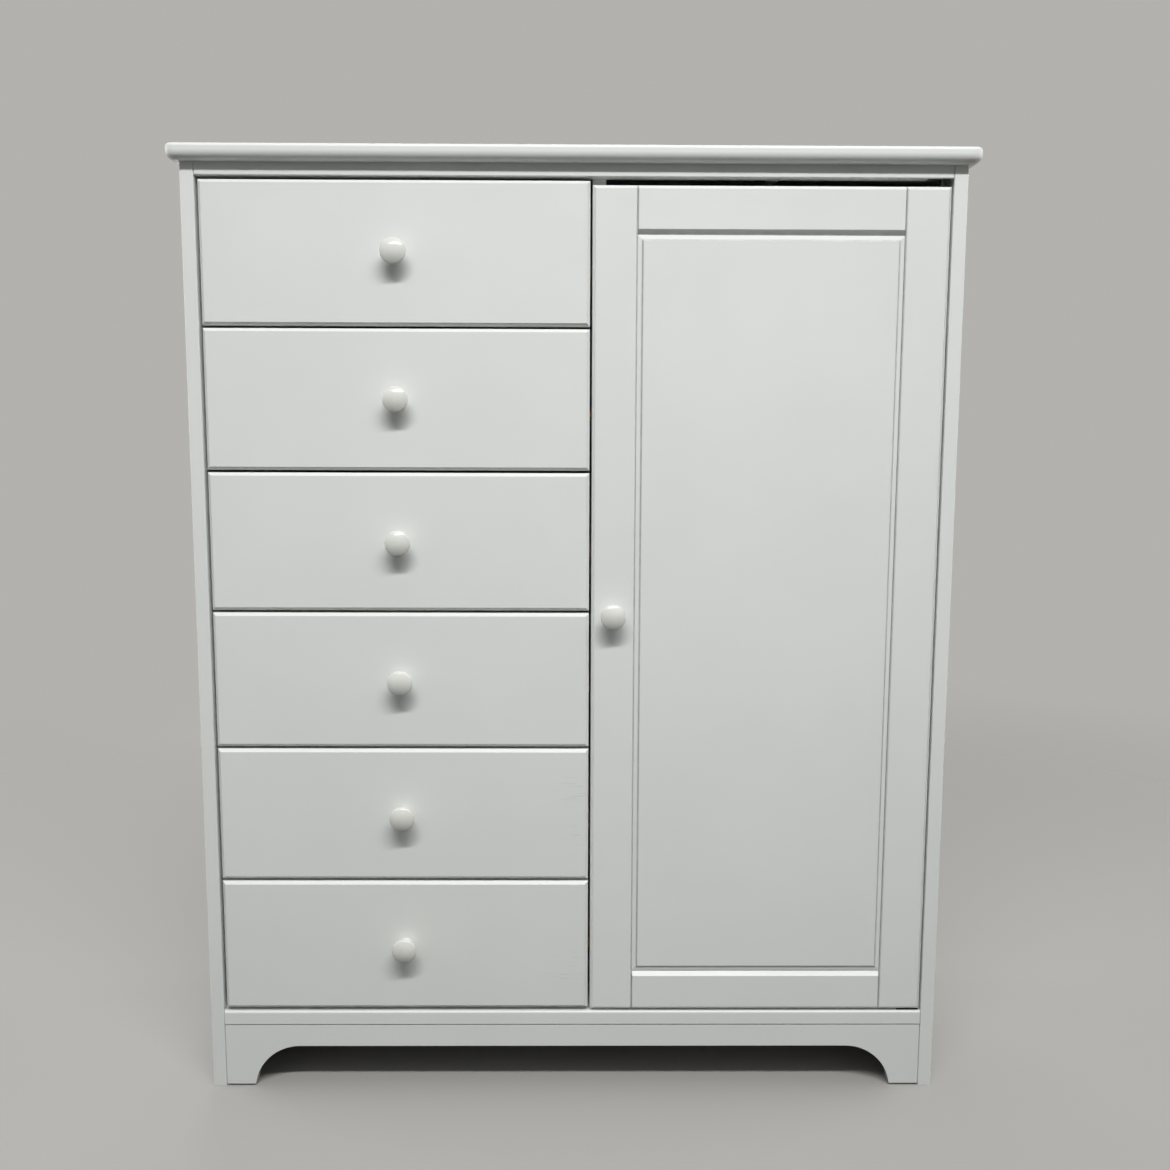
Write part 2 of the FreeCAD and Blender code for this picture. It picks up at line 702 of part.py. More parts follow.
def taper(body, name, inset, front, wide_inset, rear):
    """Slab of the panel that widens from its front face to its rear one."""
    wedge = body.newObject("PartDesign::AdditiveWedge", f"{body.Name}_{name}")
    bind(wedge, ("Xmin", "Xmax", "Zmin", "Zmax", "Ymin"),
         (inset, f"panel_width - ({inset})", inset, f"panel_height - ({inset})", front))
    bind(wedge, ("X2min", "X2max", "Z2min", "Z2max", "Ymax"),
         (wide_inset, f"panel_width - ({wide_inset})", wide_inset, f"panel_height - ({wide_inset})", rear))
    doc.recompute()


def make_panel():
    """Raised panel: a lipped field with a gentle bevel round it, and a tongue in the frame's groove."""
    body = new_piece("door_panel", ("door_x + stile_width", "front_y", "door_z + bottom_rail_height"))
    back = "tongue_front + tongue_thickness"
    block(body, "slab", ("panel_play", "panel_bevel_depth", "panel_play"),
          ("panel_width - 2 * panel_play", f"{back} - panel_bevel_depth", "panel_height - 2 * panel_play"))
    field_inset = "panel_play + panel_bevel_width"
    lip_inset, lip_foot = f"{field_inset} - panel_lip", "panel_setback + panel_lip"
    taper(body, "bevel", lip_inset, lip_foot, "panel_play", "panel_bevel_depth")
    taper(body, "lip", field_inset, "panel_setback", lip_inset, lip_foot)
    block(body, "tongue", ("-tongue_reach", "tongue_front", "-tongue_reach"),
          ("panel_width + 2 * tongue_reach", "tongue_thickness", "panel_height + 2 * tongue_reach"))


def make_door():
    """Door frame, panel and knob, with the bush seats in the stile that it turns on."""
    make_stile("door_left_stile", "door_x", False)
    right = make_stile("door_right_stile", "door_x + door_width - stile_width", True)
    axis_x = "stile_width - pivot_inset"
    plate_corner = ("stile_width - pivot_plate_length", "pivot_setback - pivot_plate_width / 2")
    for end, (plate_z, bush_z) in PIVOT_ENDS.items():
        block(right, f"{end}_seat", (*plate_corner, plate_z), PIVOT_PLATE, cut=True)
        peg(right, f"{end}_hole", (axis_x, "pivot_setback", bush_z), "bush_radius", "bush_depth", cut=True)
    make_door_rail("door_top_rail", "door_z + door_height - top_rail_height", "top_rail_height", False)
    make_door_rail("door_bottom_rail", "door_z", "bottom_rail_height", True)
    make_panel()
    make_knob("door_knob", ("door_x + stile_width / 2", "front_y", "door_z + door_height / 2"))


def make_pivots():
    """Pin plates let into deck and rail, and the bushed plates in the ends of the door's stile."""
    corner = ("pivot_inset - pivot_plate_length", "-pivot_plate_width / 2")
    axis = ("0", "0")
    top = "rail_bottom - deck_top"
    pins = new_piece("pivot_plates", ("pivot_x", "pivot_y", "deck_top"))
    block(pins, "lower_plate", (*corner, "-pivot_plate_thickness"), PIVOT_PLATE)
    peg(pins, "lower_pin", (*axis, "0"), "pin_radius", "door_bottom_gap + pivot_pin_reach")
    peg(pins, "collar", (*axis, "0"), "pivot_collar_diameter / 2", "door_bottom_gap - pivot_seat_play")
    block(pins, "upper_plate", (*corner, top), PIVOT_PLATE)
    peg(pins, "upper_pin", (*axis, f"{top} - door_top_gap - pivot_pin_reach"), "pin_radius",
        "door_top_gap + pivot_pin_reach")

    bushes = new_piece("pivot_bushes", ("pivot_x", "pivot_y", "door_z"))
    for end, (plate_z, bush_z) in PIVOT_ENDS.items():
        block(bushes, f"{end}_plate", (*corner, plate_z), PIVOT_PLATE)
        peg(bushes, f"{end}_bush", (*axis, bush_z), "bush_radius", "bush_depth")
    for end, (plate_z, bush_z) in PIVOT_ENDS.items():
        peg(bushes, f"{end}_bore", (*axis, bush_z), "bush_bore", "bush_depth", cut=True)


def make_catch():
    """Magnet catch on the divider and the strike plate on the door's back."""
    back_gap = "strike_thickness + strike_play - door_stop_gap"
    size = ("catch_width", "catch_depth", "catch_height")
    catch = board("door_catch", ("wardrobe_x", f"divider_front + {back_gap}", "catch_z"), size)
    far_edges = edges_on(catch, {"x": size[0], "y": "0"}, {"x": size[0], "y": size[1]})
    fillet(catch, "edges", far_edges, "catch_edge")
    board("catch_plate",
          ("strike_x", "front_y + door_thickness", "catch_z + (catch_height - strike_height) / 2"),
          ("strike_width", "strike_thickness", "strike_height"))


def make_rod():
    """Clothes rod from front to back, in two hangers under the top."""
    place = ("rod_x", "rod_front", "rod_z")
    rod = new_piece("clothes_rod", place)
    peg(rod, "bar", ("0", "0", "0"), "rod_radius", "rod_length", lying=True)

    hangers = new_piece("rod_hangers", place)
    plate = ("hanger_plate_length", "hanger_plate_width", "hanger_plate_thickness")
    plate_shift = "(hanger_thickness - hanger_plate_width) / 2"
    stem_top = "rod_drop - hanger_plate_thickness"
    spots = {"front": "hanger_inset", "back": "rod_length - hanger_inset - hanger_thickness"}
    for end, start in spots.items():
        centre = ("0", start, "0")
        block(hangers, f"{end}_plate",
              ("-hanger_plate_length / 2", f"{start} + {plate_shift}", stem_top), plate)
        block(hangers, f"{end}_stem", ("-hanger_stem_width / 2", start, "0"),
              ("hanger_stem_width", "hanger_thickness", stem_top))
        peg(hangers, f"{end}_ring", centre, "hanger_bore + hanger_ring", "hanger_thickness", lying=True)
        peg(hangers, f"{end}_bore", centre, "hanger_bore", "hanger_thickness", cut=True, lying=True)


make_top()
make_side("left_side", "-body_width / 2", "board_thickness - back_rabbet")
make_side("right_side", "inner_half", "0")
make_divider()
make_deck()
make_top_rail()
make_apron()
make_back()
make_runners("left_runners", "-inner_half", "runner_projection")
make_runners("right_runners", "divider_x - runner_projection", "0")
make_rod()
make_catch()
make_pivots()
make_door()
for drawer_number in range(1, SIZES["drawer_count"] + 1):
    make_drawer(drawer_number)

doc.recompute()
for item in doc.Objects:
    faults = [state for state in item.State if state in ("Invalid", "Error")]
    if faults:
        raise RuntimeError(f"{item.Label} failed to build: {faults}")
for piece in pieces:
    if piece.Shape.isNull() or not piece.Shape.isValid() or not piece.Shape.Solids:
        raise RuntimeError(f"{piece.Label} has no sound solid")

os.makedirs("parts", exist_ok=True)
for piece in pieces:
    piece.Shape.exportStep(f"parts/{piece.Label}.step")
print(len(pieces), "pieces,", sum(len(piece.Shape.Solids) for piece in pieces), "solids")
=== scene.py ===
import math

import bmesh
import bpy
from mathutils import Matrix, Vector


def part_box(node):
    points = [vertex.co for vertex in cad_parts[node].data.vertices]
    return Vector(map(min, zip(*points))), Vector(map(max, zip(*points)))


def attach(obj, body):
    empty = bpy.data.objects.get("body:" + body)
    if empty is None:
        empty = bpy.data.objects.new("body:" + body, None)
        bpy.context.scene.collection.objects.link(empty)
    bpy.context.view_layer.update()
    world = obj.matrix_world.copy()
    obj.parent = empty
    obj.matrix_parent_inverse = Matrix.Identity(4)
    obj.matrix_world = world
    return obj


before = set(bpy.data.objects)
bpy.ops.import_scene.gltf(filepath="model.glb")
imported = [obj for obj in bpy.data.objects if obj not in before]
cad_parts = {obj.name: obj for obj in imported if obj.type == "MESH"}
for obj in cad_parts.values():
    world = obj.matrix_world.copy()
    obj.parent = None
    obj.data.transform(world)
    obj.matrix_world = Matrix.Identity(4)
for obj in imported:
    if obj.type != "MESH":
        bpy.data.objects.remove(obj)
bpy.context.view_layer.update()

# Colours, as linear red, green and blue
WHITE_PAINT = (0.785, 0.797, 0.772, 1)
WHITE_SHADE = (0.76, 0.778, 0.757, 1)
PRIMER = (0.6, 0.57, 0.51, 1)
RUB_GREY = (0.46, 0.46, 0.45, 1)
# Painted shade: the grey that the door's grooves and seams are darkened towards, standing in for their shadow
PAINTED_SHADE_GREY = (0.4, 0.395, 0.38, 1)
KNOB_WHITE = (0.72, 0.72, 0.675, 1)
KNOB_SHADE = (0.69, 0.69, 0.65, 1)
PINE_PALE = (0.66, 0.47, 0.27, 1)
PINE_DARK = (0.45, 0.27, 0.12, 1)
PLY_PALE = (0.64, 0.46, 0.28, 1)
PLY_DARK = (0.47, 0.3, 0.15, 1)
BEECH_PALE = (0.55, 0.34, 0.19, 1)
BEECH_DARK = (0.4, 0.22, 0.11, 1)
BOARD_PALE = (0.36, 0.235, 0.135, 1)
BOARD_DARK = (0.24, 0.145, 0.075, 1)
BLACKED = (0.035, 0.034, 0.033, 1)
BLACKED_WORN = (0.07, 0.068, 0.065, 1)
ZINC = (0.58, 0.58, 0.57, 1)
ZINC_DULL = (0.4, 0.4, 0.39, 1)
CHROME = (0.8, 0.81, 0.82, 1)
CHROME_DULL = (0.66, 0.66, 0.66, 1)
CATCH_WHITE = (0.7, 0.7, 0.67, 1)
CATCH_SHADE = (0.62, 0.62, 0.59, 1)
BACKDROP = (0.455, 0.442, 0.42, 1)
FLOOR_SEEN = (0.385, 0.374, 0.357, 1)
FLOOR_BOUNCE = (0.1, 0.097, 0.092, 1)
AMBIENT_ABOVE = (0.97, 1.0, 1.0, 1)
AMBIENT_BELOW = (0.2, 0.2, 0.195, 1)

QUARTER_TURN = math.radians(90)
FULL_TURN = math.radians(360)
UP, DOWN = (0, 0, 1), (0, 0, -1)
TO_BACK, TO_LEFT, TO_RIGHT = (0, 1, 0), (-1, 0, 0), (1, 0, 0)

# How a pattern that runs along X is turned to run along the other axes
TURN = {
    "Y": (0, 0, QUARTER_TURN),
    "Z": (0, QUARTER_TURN, 0),
}

# Sockets told apart by their place, because others on the node have the same name
MIX_SHARE, MIX_FIRST, MIX_SECOND, MIX_COLOUR = 0, 6, 7, 2
CHANCE_MOST, CHANCE_NUMBER = 3, 1


# Node helpers
def put(tree, kind, inputs=None, **settings):
    """A new node with its settings, and each input given a value or linked from a socket."""
    node = tree.nodes.new(kind)
    for name, value in settings.items():
        setattr(node, name, value)
    for name, value in (inputs or {}).items():
        if isinstance(value, bpy.types.NodeSocket):
            tree.links.new(value, node.inputs[name])
        else:
            node.inputs[name].default_value = value
    return node


def new_group(name, kind, inputs, outputs):
    """An empty node group with named sockets: its tree, its given sockets and its end node."""
    tree = bpy.data.node_groups.new(name, kind)
    for label, socket_type, value in inputs:
        socket = tree.interface.new_socket(label, in_out="INPUT", socket_type=socket_type)
        if value is not None:
            socket.default_value = value
    for label, socket_type in outputs:
        tree.interface.new_socket(label, in_out="OUTPUT", socket_type=socket_type)
    return tree, tree.nodes.new("NodeGroupInput").outputs, tree.nodes.new("NodeGroupOutput")


def use(tree, group, **inputs):
    """The outputs of a node group placed in a material. Underscores stand for spaces in input names."""
    spaced = {name.replace("_", " "): value for name, value in inputs.items()}
    return put(tree, "ShaderNodeGroup", spaced, node_tree=group).outputs


def reckon(tree, operation, first, second=0.0):
    """The result of a sum on one or two values."""
    return put(tree, "ShaderNodeMath", {0: first, 1: second}, operation=operation).outputs[0]


def reckon_place(tree, operation, first, second=(0, 0, 0), result="Vector"):
    """The result of a sum on one or two places."""
    return put(tree, "ShaderNodeVectorMath", {0: first, 1: second}, operation=operation).outputs[result]


def stretched(tree, vector, scale):
    """The place multiplied axis by axis."""
    return reckon_place(tree, "MULTIPLY", vector, scale)


def axes(tree, vector):
    """The three coordinates of a place."""
    return put(tree, "ShaderNodeSeparateXYZ", {0: vector}).outputs


def spread(tree, value, low, high, to_low=0.0, to_high=1.0):
    """A value stretched smoothly from one range to another."""
    inputs = {"Value": value, "From Min": low, "From Max": high, "To Min": to_low, "To Max": to_high}
    return put(tree, "ShaderNodeMapRange", inputs, interpolation_type="SMOOTHSTEP").outputs[0]


def between(tree, share, least, most):
    """A value between two, by share."""
    return spread(tree, share, low=0.0, high=1.0, to_low=least, to_high=most)


def tint(tree, share, first, second):
    """A colour between two, by share."""
    inputs = {MIX_SHARE: share, MIX_FIRST: first, MIX_SECOND: second}
    return put(tree, "ShaderNodeMix", inputs, data_type="RGBA").outputs[MIX_COLOUR]


def noise(tree, vector, scale=1.0, detail=2.0, roughness=0.5):
    """Soft noise between 0 and 1."""
    inputs = {"Vector": vector, "Scale": scale, "Detail": detail, "Roughness": roughness}
    return put(tree, "ShaderNodeTexNoise", inputs).outputs[0]


# How close each pattern lies along each axis, as a noise scale to the metre
SMEAR_STRETCH = (9, 26, 26)
SWAY_STRETCH = (2.2, 12, 12)
FIBRE_STRETCH = (14, 620, 620)
STRAND_STRETCH = (420, 150, 260)
DRAWN_STRETCH = (60, 2600, 2600)
# Leaves only the part of a distance that lies across the grain
ACROSS_GRAIN = (0, 1, 1)
# How softly the breaks in worn edges end
BREAK_SOFTNESS = 0.08
# The share of a patch's reach, and of the depth of a groove's painted shade, where the effect is full
RUB_CORE = 0.3
PAINTED_SHADE_CORE = 0.8


# Effects that several finishes share
def make_paint_film():
    """Sprayed paint: slow mottling, uneven gloss and a fine orange peel."""
    tree, given, end = new_group(
        "paint_film", "ShaderNodeTree",
        (("Vector", "NodeSocketVector", None), ("Mottle Scale", "NodeSocketFloat", 5.0),
         ("Peel Scale", "NodeSocketFloat", 380.0)),
        (("Mottle", "NodeSocketFloat"), ("Gloss", "NodeSocketFloat"), ("Peel", "NodeSocketFloat")))
    clouds = noise(tree, given["Vector"], given["Mottle Scale"], detail=3.0, roughness=0.55)
    tree.links.new(spread(tree, clouds, low=0.3, high=0.7), end.inputs["Mottle"])
    smears = noise(tree, stretched(tree, given["Vector"], SMEAR_STRETCH), detail=4.0, roughness=0.6)
    tree.links.new(spread(tree, smears, low=0.28, high=0.72), end.inputs["Gloss"])
    peel = noise(tree, given["Vector"], given["Peel Scale"], detail=1.0, roughness=0.4)
    tree.links.new(peel, end.inputs["Peel"])
    return tree


def make_edge_wear():
    """Rubbed edges: where a small bevel turns away from the face, broken up by noise."""
    tree, given, end = new_group(
        "edge_wear", "ShaderNodeTree",
        (("Vector", "NodeSocketVector", None), ("Radius", "NodeSocketFloat", 0.0006),
         ("Break Scale", "NodeSocketFloat", 70.0), ("Share", "NodeSocketFloat", 0.4)),
        (("Worn", "NodeSocketFloat"), ("Normal", "NodeSocketVector")))
    bevel = put(tree, "ShaderNodeBevel", {"Radius": given["Radius"]}, samples=4).outputs["Normal"]
    face = put(tree, "ShaderNodeNewGeometry").outputs["Normal"]
    agree = reckon_place(tree, "DOT_PRODUCT", bevel, face, result="Value")
    edge = spread(tree, reckon(tree, "SUBTRACT", 1.0, agree), low=0.02, high=0.2)
    breaks = noise(tree, given["Vector"], given["Break Scale"], detail=4.0, roughness=0.65)
    least = reckon(tree, "SUBTRACT", 1.0, given["Share"])
    most = reckon(tree, "ADD", least, BREAK_SOFTNESS)
    worn = reckon(tree, "MULTIPLY", edge, spread(tree, breaks, least, most))
    tree.links.new(worn, end.inputs["Worn"])
    tree.links.new(bevel, end.inputs["Normal"])
    return tree


def make_wood_grain():
    """Plain-sawn wood with its grain along X: growth rings round a pith, and fine fibres."""
    tree, given, end = new_group(
        "wood_grain", "ShaderNodeTree",
        (("Vector", "NodeSocketVector", None), ("Pith", "NodeSocketVector", (0.0, 0.09, 0.06)),
         ("Ring Width", "NodeSocketFloat", 0.007), ("Waver", "NodeSocketFloat", 0.012)),
        (("Ring", "NodeSocketFloat"), ("Fibre", "NodeSocketFloat")))
    off_pith = reckon_place(tree, "SUBTRACT", given["Vector"], given["Pith"])
    reach = reckon_place(tree, "LENGTH", stretched(tree, off_pith, ACROSS_GRAIN), result="Value")
    sway = noise(tree, stretched(tree, given["Vector"], SWAY_STRETCH))
    bent = reckon(tree, "ADD", reach, reckon(tree, "MULTIPLY", sway, given["Waver"]))
    turns = reckon(tree, "FRACT", reckon(tree, "DIVIDE", bent, given["Ring Width"]))
    rise = spread(tree, turns, low=0.25, high=0.85)
    fall = spread(tree, turns, low=1.0, high=0.88)
    tree.links.new(reckon(tree, "MULTIPLY", rise, fall), end.inputs["Ring"])
    fibres = noise(tree, stretched(tree, given["Vector"], FIBRE_STRETCH), detail=3.0, roughness=0.6)
    tree.links.new(spread(tree, fibres, low=0.3, high=0.75), end.inputs["Fibre"])
    return tree


def make_rub_marks():
    """Faint short scratches within one soft-edged patch, where something has brushed past."""
    tree, given, end = new_group(
        "rub_marks", "ShaderNodeTree",
        (("Vector", "NodeSocketVector", None), ("Patch", "NodeSocketVector", (0.0, 0.0, 0.0)),
         ("Reach", "NodeSocketFloat", 0.05), ("Streak Scale", "NodeSocketVector", (30.0, 30.0, 330.0))),
        (("Mark", "NodeSocketFloat"),))
    away = reckon_place(tree, "DISTANCE", given["Vector"], given["Patch"], result="Value")
    there = spread(tree, away, given["Reach"], reckon(tree, "MULTIPLY", given["Reach"], RUB_CORE))
    streaked = stretched(tree, given["Vector"], given["Streak Scale"])
    scratches = noise(tree, streaked, detail=3.0, roughness=0.65)
    streaks = spread(tree, scratches, low=0.55, high=0.72)
    tree.links.new(reckon(tree, "MULTIPLY", there, streaks), end.inputs["Mark"])
    return tree


def make_painted_groove_shade():
    """Painted shade along the outline of an upright rectangle on the front, where grooves and seams run: a
    darker line that stands in for the shadow in them.
    """
    tree, given, end = new_group(
        "painted_groove_shade", "ShaderNodeTree",
        (("Vector", "NodeSocketVector", None), ("Centre", "NodeSocketVector", (0.0, 0.0, 0.0)),
         ("Half Size", "NodeSocketVector", (0.1, 0.0, 0.1)), ("Width", "NodeSocketFloat", 0.002),
         ("Depth", "NodeSocketFloat", 0.007)),
        (("Painted Shade", "NodeSocketFloat"),))
    off = reckon_place(tree, "SUBTRACT", given["Vector"], given["Centre"])
    past = axes(tree, reckon_place(tree, "SUBTRACT", reckon_place(tree, "ABSOLUTE", off), given["Half Size"]))
    outline = reckon(tree, "ABSOLUTE", reckon(tree, "MAXIMUM", past["X"], past["Z"]))
    line = spread(tree, outline, given["Width"], 0.0)
    full_depth = reckon(tree, "MULTIPLY", given["Depth"], PAINTED_SHADE_CORE)
    front = spread(tree, axes(tree, off)["Y"], given["Depth"], full_depth)
    patches = noise(tree, given["Vector"], scale=55.0, detail=3.0, roughness=0.6)
    breaks = spread(tree, patches, low=0.3, high=0.6, to_low=0.75, to_high=1.0)
    # The painted shade: the outline's line, fading with depth behind the front and broken up a little by
    # noise
    painted_shade = reckon(tree, "MULTIPLY", line, reckon(tree, "MULTIPLY", front, breaks))
    tree.links.new(painted_shade, end.inputs["Painted Shade"])
    return tree


paint_film = make_paint_film()
edge_wear = make_edge_wear()
wood_grain = make_wood_grain()
rub_marks = make_rub_marks()
painted_groove_shade = make_painted_groove_shade()

# How strongly the effects show in paint, in wood and in board
RUB_SHARE, RUB_DULLING = 0.3, 0.1
PRIMER_SHARE = 0.5
PAINTED_FIBRE = 0.7
RING_SHARE, FIBRE_SHARE, DARK_EDGE_SHARE = 0.6, 0.3, 0.35
WOOD_ROUGH_RISE = 0.16
BOARD_MOTTLE_SHARE, BOARD_STRAND_SHARE = 0.14, 0.75


# Finishes
def new_finish(name, along="X"):
    """A material with its shader, and the place on the part turned so that its grain runs along X."""
    finish = bpy.data.materials.new(name)
    finish.use_nodes = True
    tree = finish.node_tree
    shader = tree.nodes["Principled BSDF"]
    place = put(tree, "ShaderNodeTexCoord").outputs["Object"]
    if along in TURN:
        place = put(tree, "ShaderNodeMapping", {"Vector": place, "Rotation": TURN[along]}).outputs[0]
    return finish, tree, shader, place


def raise_surface(tree, shader, height, distance, normal=None):
    """Joins a fine relief to the shader, over an eased normal where there is one."""
    inputs = {"Strength": 1.0, "Distance": distance, "Height": height}
    if normal is not None:
        inputs["Normal"] = normal
    tree.links.new(put(tree, "ShaderNodeBump", inputs).outputs[0], shader.inputs["Normal"])


def white_paint(name, along, rubbed=(), shade_lines=()):
    """Satin white paint over wood whose grain just shows through, with rubbed patches and painted shade along
    grooves and seams.
    """
    finish, tree, shader, place = new_finish(name, along)
    film = use(tree, paint_film, Vector=place)
    grain = use(tree, wood_grain, Vector=place)
    wear = use(tree, edge_wear, Vector=place, Share=0.34)
    colour = tint(tree, film["Mottle"], WHITE_PAINT, WHITE_SHADE)
    rough = between(tree, film["Gloss"], least=0.36, most=0.45)
    for patch, reach in rubbed:
        mark = use(tree, rub_marks, Vector=place, Patch=patch, Reach=reach)["Mark"]
        colour = tint(tree, reckon(tree, "MULTIPLY", mark, RUB_SHARE), colour, RUB_GREY)
        rough = reckon(tree, "ADD", rough, reckon(tree, "MULTIPLY", mark, RUB_DULLING))
    colour = tint(tree, reckon(tree, "MULTIPLY", wear["Worn"], PRIMER_SHARE), colour, PRIMER)
    # Painted shade: each line darkens the paint towards grey where a groove or seam lies, standing in for its
    # shadow
    for centre, half_size, width, share in shade_lines:
        unturned = put(tree, "ShaderNodeTexCoord").outputs["Object"]
        groove = use(tree, painted_groove_shade, Vector=unturned, Centre=centre, Half_Size=half_size, Width=width)
        colour = tint(tree, reckon(tree, "MULTIPLY", groove["Painted Shade"], share), colour, PAINTED_SHADE_GREY)
    tree.links.new(colour, shader.inputs["Base Color"])
    tree.links.new(rough, shader.inputs["Roughness"])
    relief = reckon(tree, "ADD", film["Peel"], reckon(tree, "MULTIPLY", grain["Fibre"], PAINTED_FIBRE))
    raise_surface(tree, shader, relief, distance=0.00002, normal=wear["Normal"])
    shader.inputs["Specular IOR Level"].default_value = 0.45
    return finish


def knob_paint():
    """Glossier white enamel on turned wood."""
    finish, tree, shader, place = new_finish("knob_enamel")
    film = use(tree, paint_film, Vector=place, Mottle_Scale=45.0, Peel_Scale=700.0)
    tree.links.new(tint(tree, film["Mottle"], KNOB_WHITE, KNOB_SHADE), shader.inputs["Base Color"])
    tree.links.new(between(tree, film["Gloss"], least=0.15, most=0.2), shader.inputs["Roughness"])
    raise_surface(tree, shader, film["Peel"], distance=0.000012)
    return finish


def bare_wood(name, along, pale, dark, ring_width, rough, pith=(0.0, 0.09, 0.06)):
    """Sealed or raw wood: rings and fibres in two tones, with softened edges."""
    finish, tree, shader, place = new_finish(name, along)
    grain = use(tree, wood_grain, Vector=place, Ring_Width=ring_width, Pith=pith)
    wear = use(tree, edge_wear, Vector=place, Share=0.45)
    figure = reckon(tree, "MULTIPLY", grain["Ring"], RING_SHARE)
    figure = reckon(tree, "ADD", figure, reckon(tree, "MULTIPLY", grain["Fibre"], FIBRE_SHARE))
    colour = tint(tree, figure, pale, dark)
    colour = tint(tree, reckon(tree, "MULTIPLY", wear["Worn"], DARK_EDGE_SHARE), colour, dark)
    tree.links.new(colour, shader.inputs["Base Color"])
    roughness = between(tree, grain["Fibre"], least=rough, most=rough + WOOD_ROUGH_RISE)
    tree.links.new(roughness, shader.inputs["Roughness"])
    raise_surface(tree, shader, grain["Fibre"], distance=0.00006, normal=wear["Normal"])
    return finish


def thin_board():
    """Plain hardboard: pressed fibres in brown, slightly mottled."""
    finish, tree, shader, place = new_finish("back_hardboard")
    film = use(tree, paint_film, Vector=place, Mottle_Scale=3.0, Peel_Scale=260.0)
    felt = noise(tree, stretched(tree, place, STRAND_STRETCH), detail=5.0, roughness=0.75)
    strands = spread(tree, felt, low=0.3, high=0.7)
    share = reckon(tree, "ADD", reckon(tree, "MULTIPLY", film["Mottle"], BOARD_MOTTLE_SHARE),
                   reckon(tree, "MULTIPLY", strands, BOARD_STRAND_SHARE))
    tree.links.new(tint(tree, share, BOARD_PALE, BOARD_DARK), shader.inputs["Base Color"])
    tree.links.new(between(tree, film["Gloss"], least=0.5, most=0.68), shader.inputs["Roughness"])
    raise_surface(tree, shader, strands, distance=0.00008)
    return finish


def metal(name, along, bright, dull, smooth, rough, relief):
    """Plated or blackened metal with faint drawn lines and a few dull spots."""
    finish, tree, shader, place = new_finish(name, along)
    film = use(tree, paint_film, Vector=place, Mottle_Scale=60.0, Peel_Scale=900.0)
    lines = noise(tree, stretched(tree, place, DRAWN_STRETCH))
    tree.links.new(tint(tree, film["Mottle"], bright, dull), shader.inputs["Base Color"])
    roughness = spread(tree, lines, low=0.25, high=0.75, to_low=smooth, to_high=rough)
    tree.links.new(roughness, shader.inputs["Roughness"])
    raise_surface(tree, shader, lines, distance=relief)
    shader.inputs["Metallic"].default_value = 1.0
    return finish


def catch_plastic():
    """Matt moulded plastic with a fine spark-eroded texture."""
    finish, tree, shader, place = new_finish("catch_plastic")
    film = use(tree, paint_film, Vector=place, Mottle_Scale=80.0, Peel_Scale=1500.0)
    tree.links.new(tint(tree, film["Mottle"], CATCH_WHITE, CATCH_SHADE), shader.inputs["Base Color"])
    tree.links.new(between(tree, film["Gloss"], least=0.5, most=0.62), shader.inputs["Roughness"])
    raise_surface(tree, shader, film["Peel"], distance=0.00005)
    return finish


# Patches by the right ends of the two lowest drawers, each with its reach
RUBBED_SPOTS = (
    ((0.004, -0.18, 0.475), 0.035),
    ((0.004, -0.18, 0.402), 0.025),
    ((-0.012, -0.18, 0.19), 0.04),
)

# Painted shade in the door's grooves and seams: how wide it lies and how strongly it darkens them
LIP_SHADE = (0.0024, 0.75)
SEAM_SHADE = (0.0024, 0.75)
GROOVE_SHADE = (0.009, 0.85)
# The panel's lip lies this far inside the opening of the door's frame, and the seams run past both ends of it
LIP_INSET = 0.0076
TALLER_THAN_DOOR = 1
opening_low = Vector((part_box("door_left_stile")[1].x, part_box("door_left_stile")[0].y,
                      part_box("door_bottom_rail")[1].z))
opening_high = Vector((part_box("door_right_stile")[0].x, opening_low.y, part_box("door_top_rail")[0].z))
opening_middle = (opening_low + opening_high) / 2
opening_half = (opening_high - opening_low) / 2
lip_half = opening_half - Vector((LIP_INSET, 0, LIP_INSET))
seam_half = Vector((opening_half.x, 0, TALLER_THAN_DOOR))
lip_line = (opening_middle, lip_half, *LIP_SHADE)
seam_line = (opening_middle, seam_half, *SEAM_SHADE)
groove_line = (opening_middle, opening_half, *GROOVE_SHADE)

paint_across = white_paint("white_paint_across", "X")
paint_upright = white_paint("white_paint_upright", "Z")
paint_drawers = white_paint("white_paint_drawers", "X", rubbed=RUBBED_SPOTS)
paint_stiles = white_paint("white_paint_stiles", "Z", shade_lines=(seam_line,))
paint_panel = white_paint("white_paint_panel", "Z", shade_lines=(lip_line,))
paint_top_rail = white_paint("white_paint_top_rail", "X", shade_lines=(seam_line, groove_line))
paint_bottom_rail = white_paint("white_paint_bottom_rail", "X", shade_lines=(seam_line,))
enamel = knob_paint()
pine_deep = bare_wood("drawer_pine_deep", "Y", PINE_PALE, PINE_DARK, ring_width=0.008, rough=0.42)
pine_wide = bare_wood("drawer_pine_wide", "X", PINE_PALE, PINE_DARK, ring_width=0.008, rough=0.42,
                      pith=(0.0, 0.3, -0.05))
pine_raw = bare_wood("raw_pine", "X", PINE_PALE, PINE_DARK, ring_width=0.006, rough=0.6, pith=(0.0, 0.1, 0.2))
plywood = bare_wood("drawer_plywood", "X", PLY_PALE, PLY_DARK, ring_width=0.02, rough=0.46,
                    pith=(0.0, 0.02, 0.4))
beech = bare_wood("runner_beech", "Y", BEECH_PALE, BEECH_DARK, ring_width=0.004, rough=0.38)
hardboard = thin_board()
blacked_steel = metal("blacked_steel", "X", BLACKED, BLACKED_WORN, smooth=0.4, rough=0.58, relief=0.000006)
zinc = metal("zinc_plate", "X", ZINC, ZINC_DULL, smooth=0.3, rough=0.46, relief=0.000006)
chrome = metal("rod_chrome", "Y", CHROME, CHROME_DULL, smooth=0.08, rough=0.17, relief=0.000002)
plastic = catch_plastic()

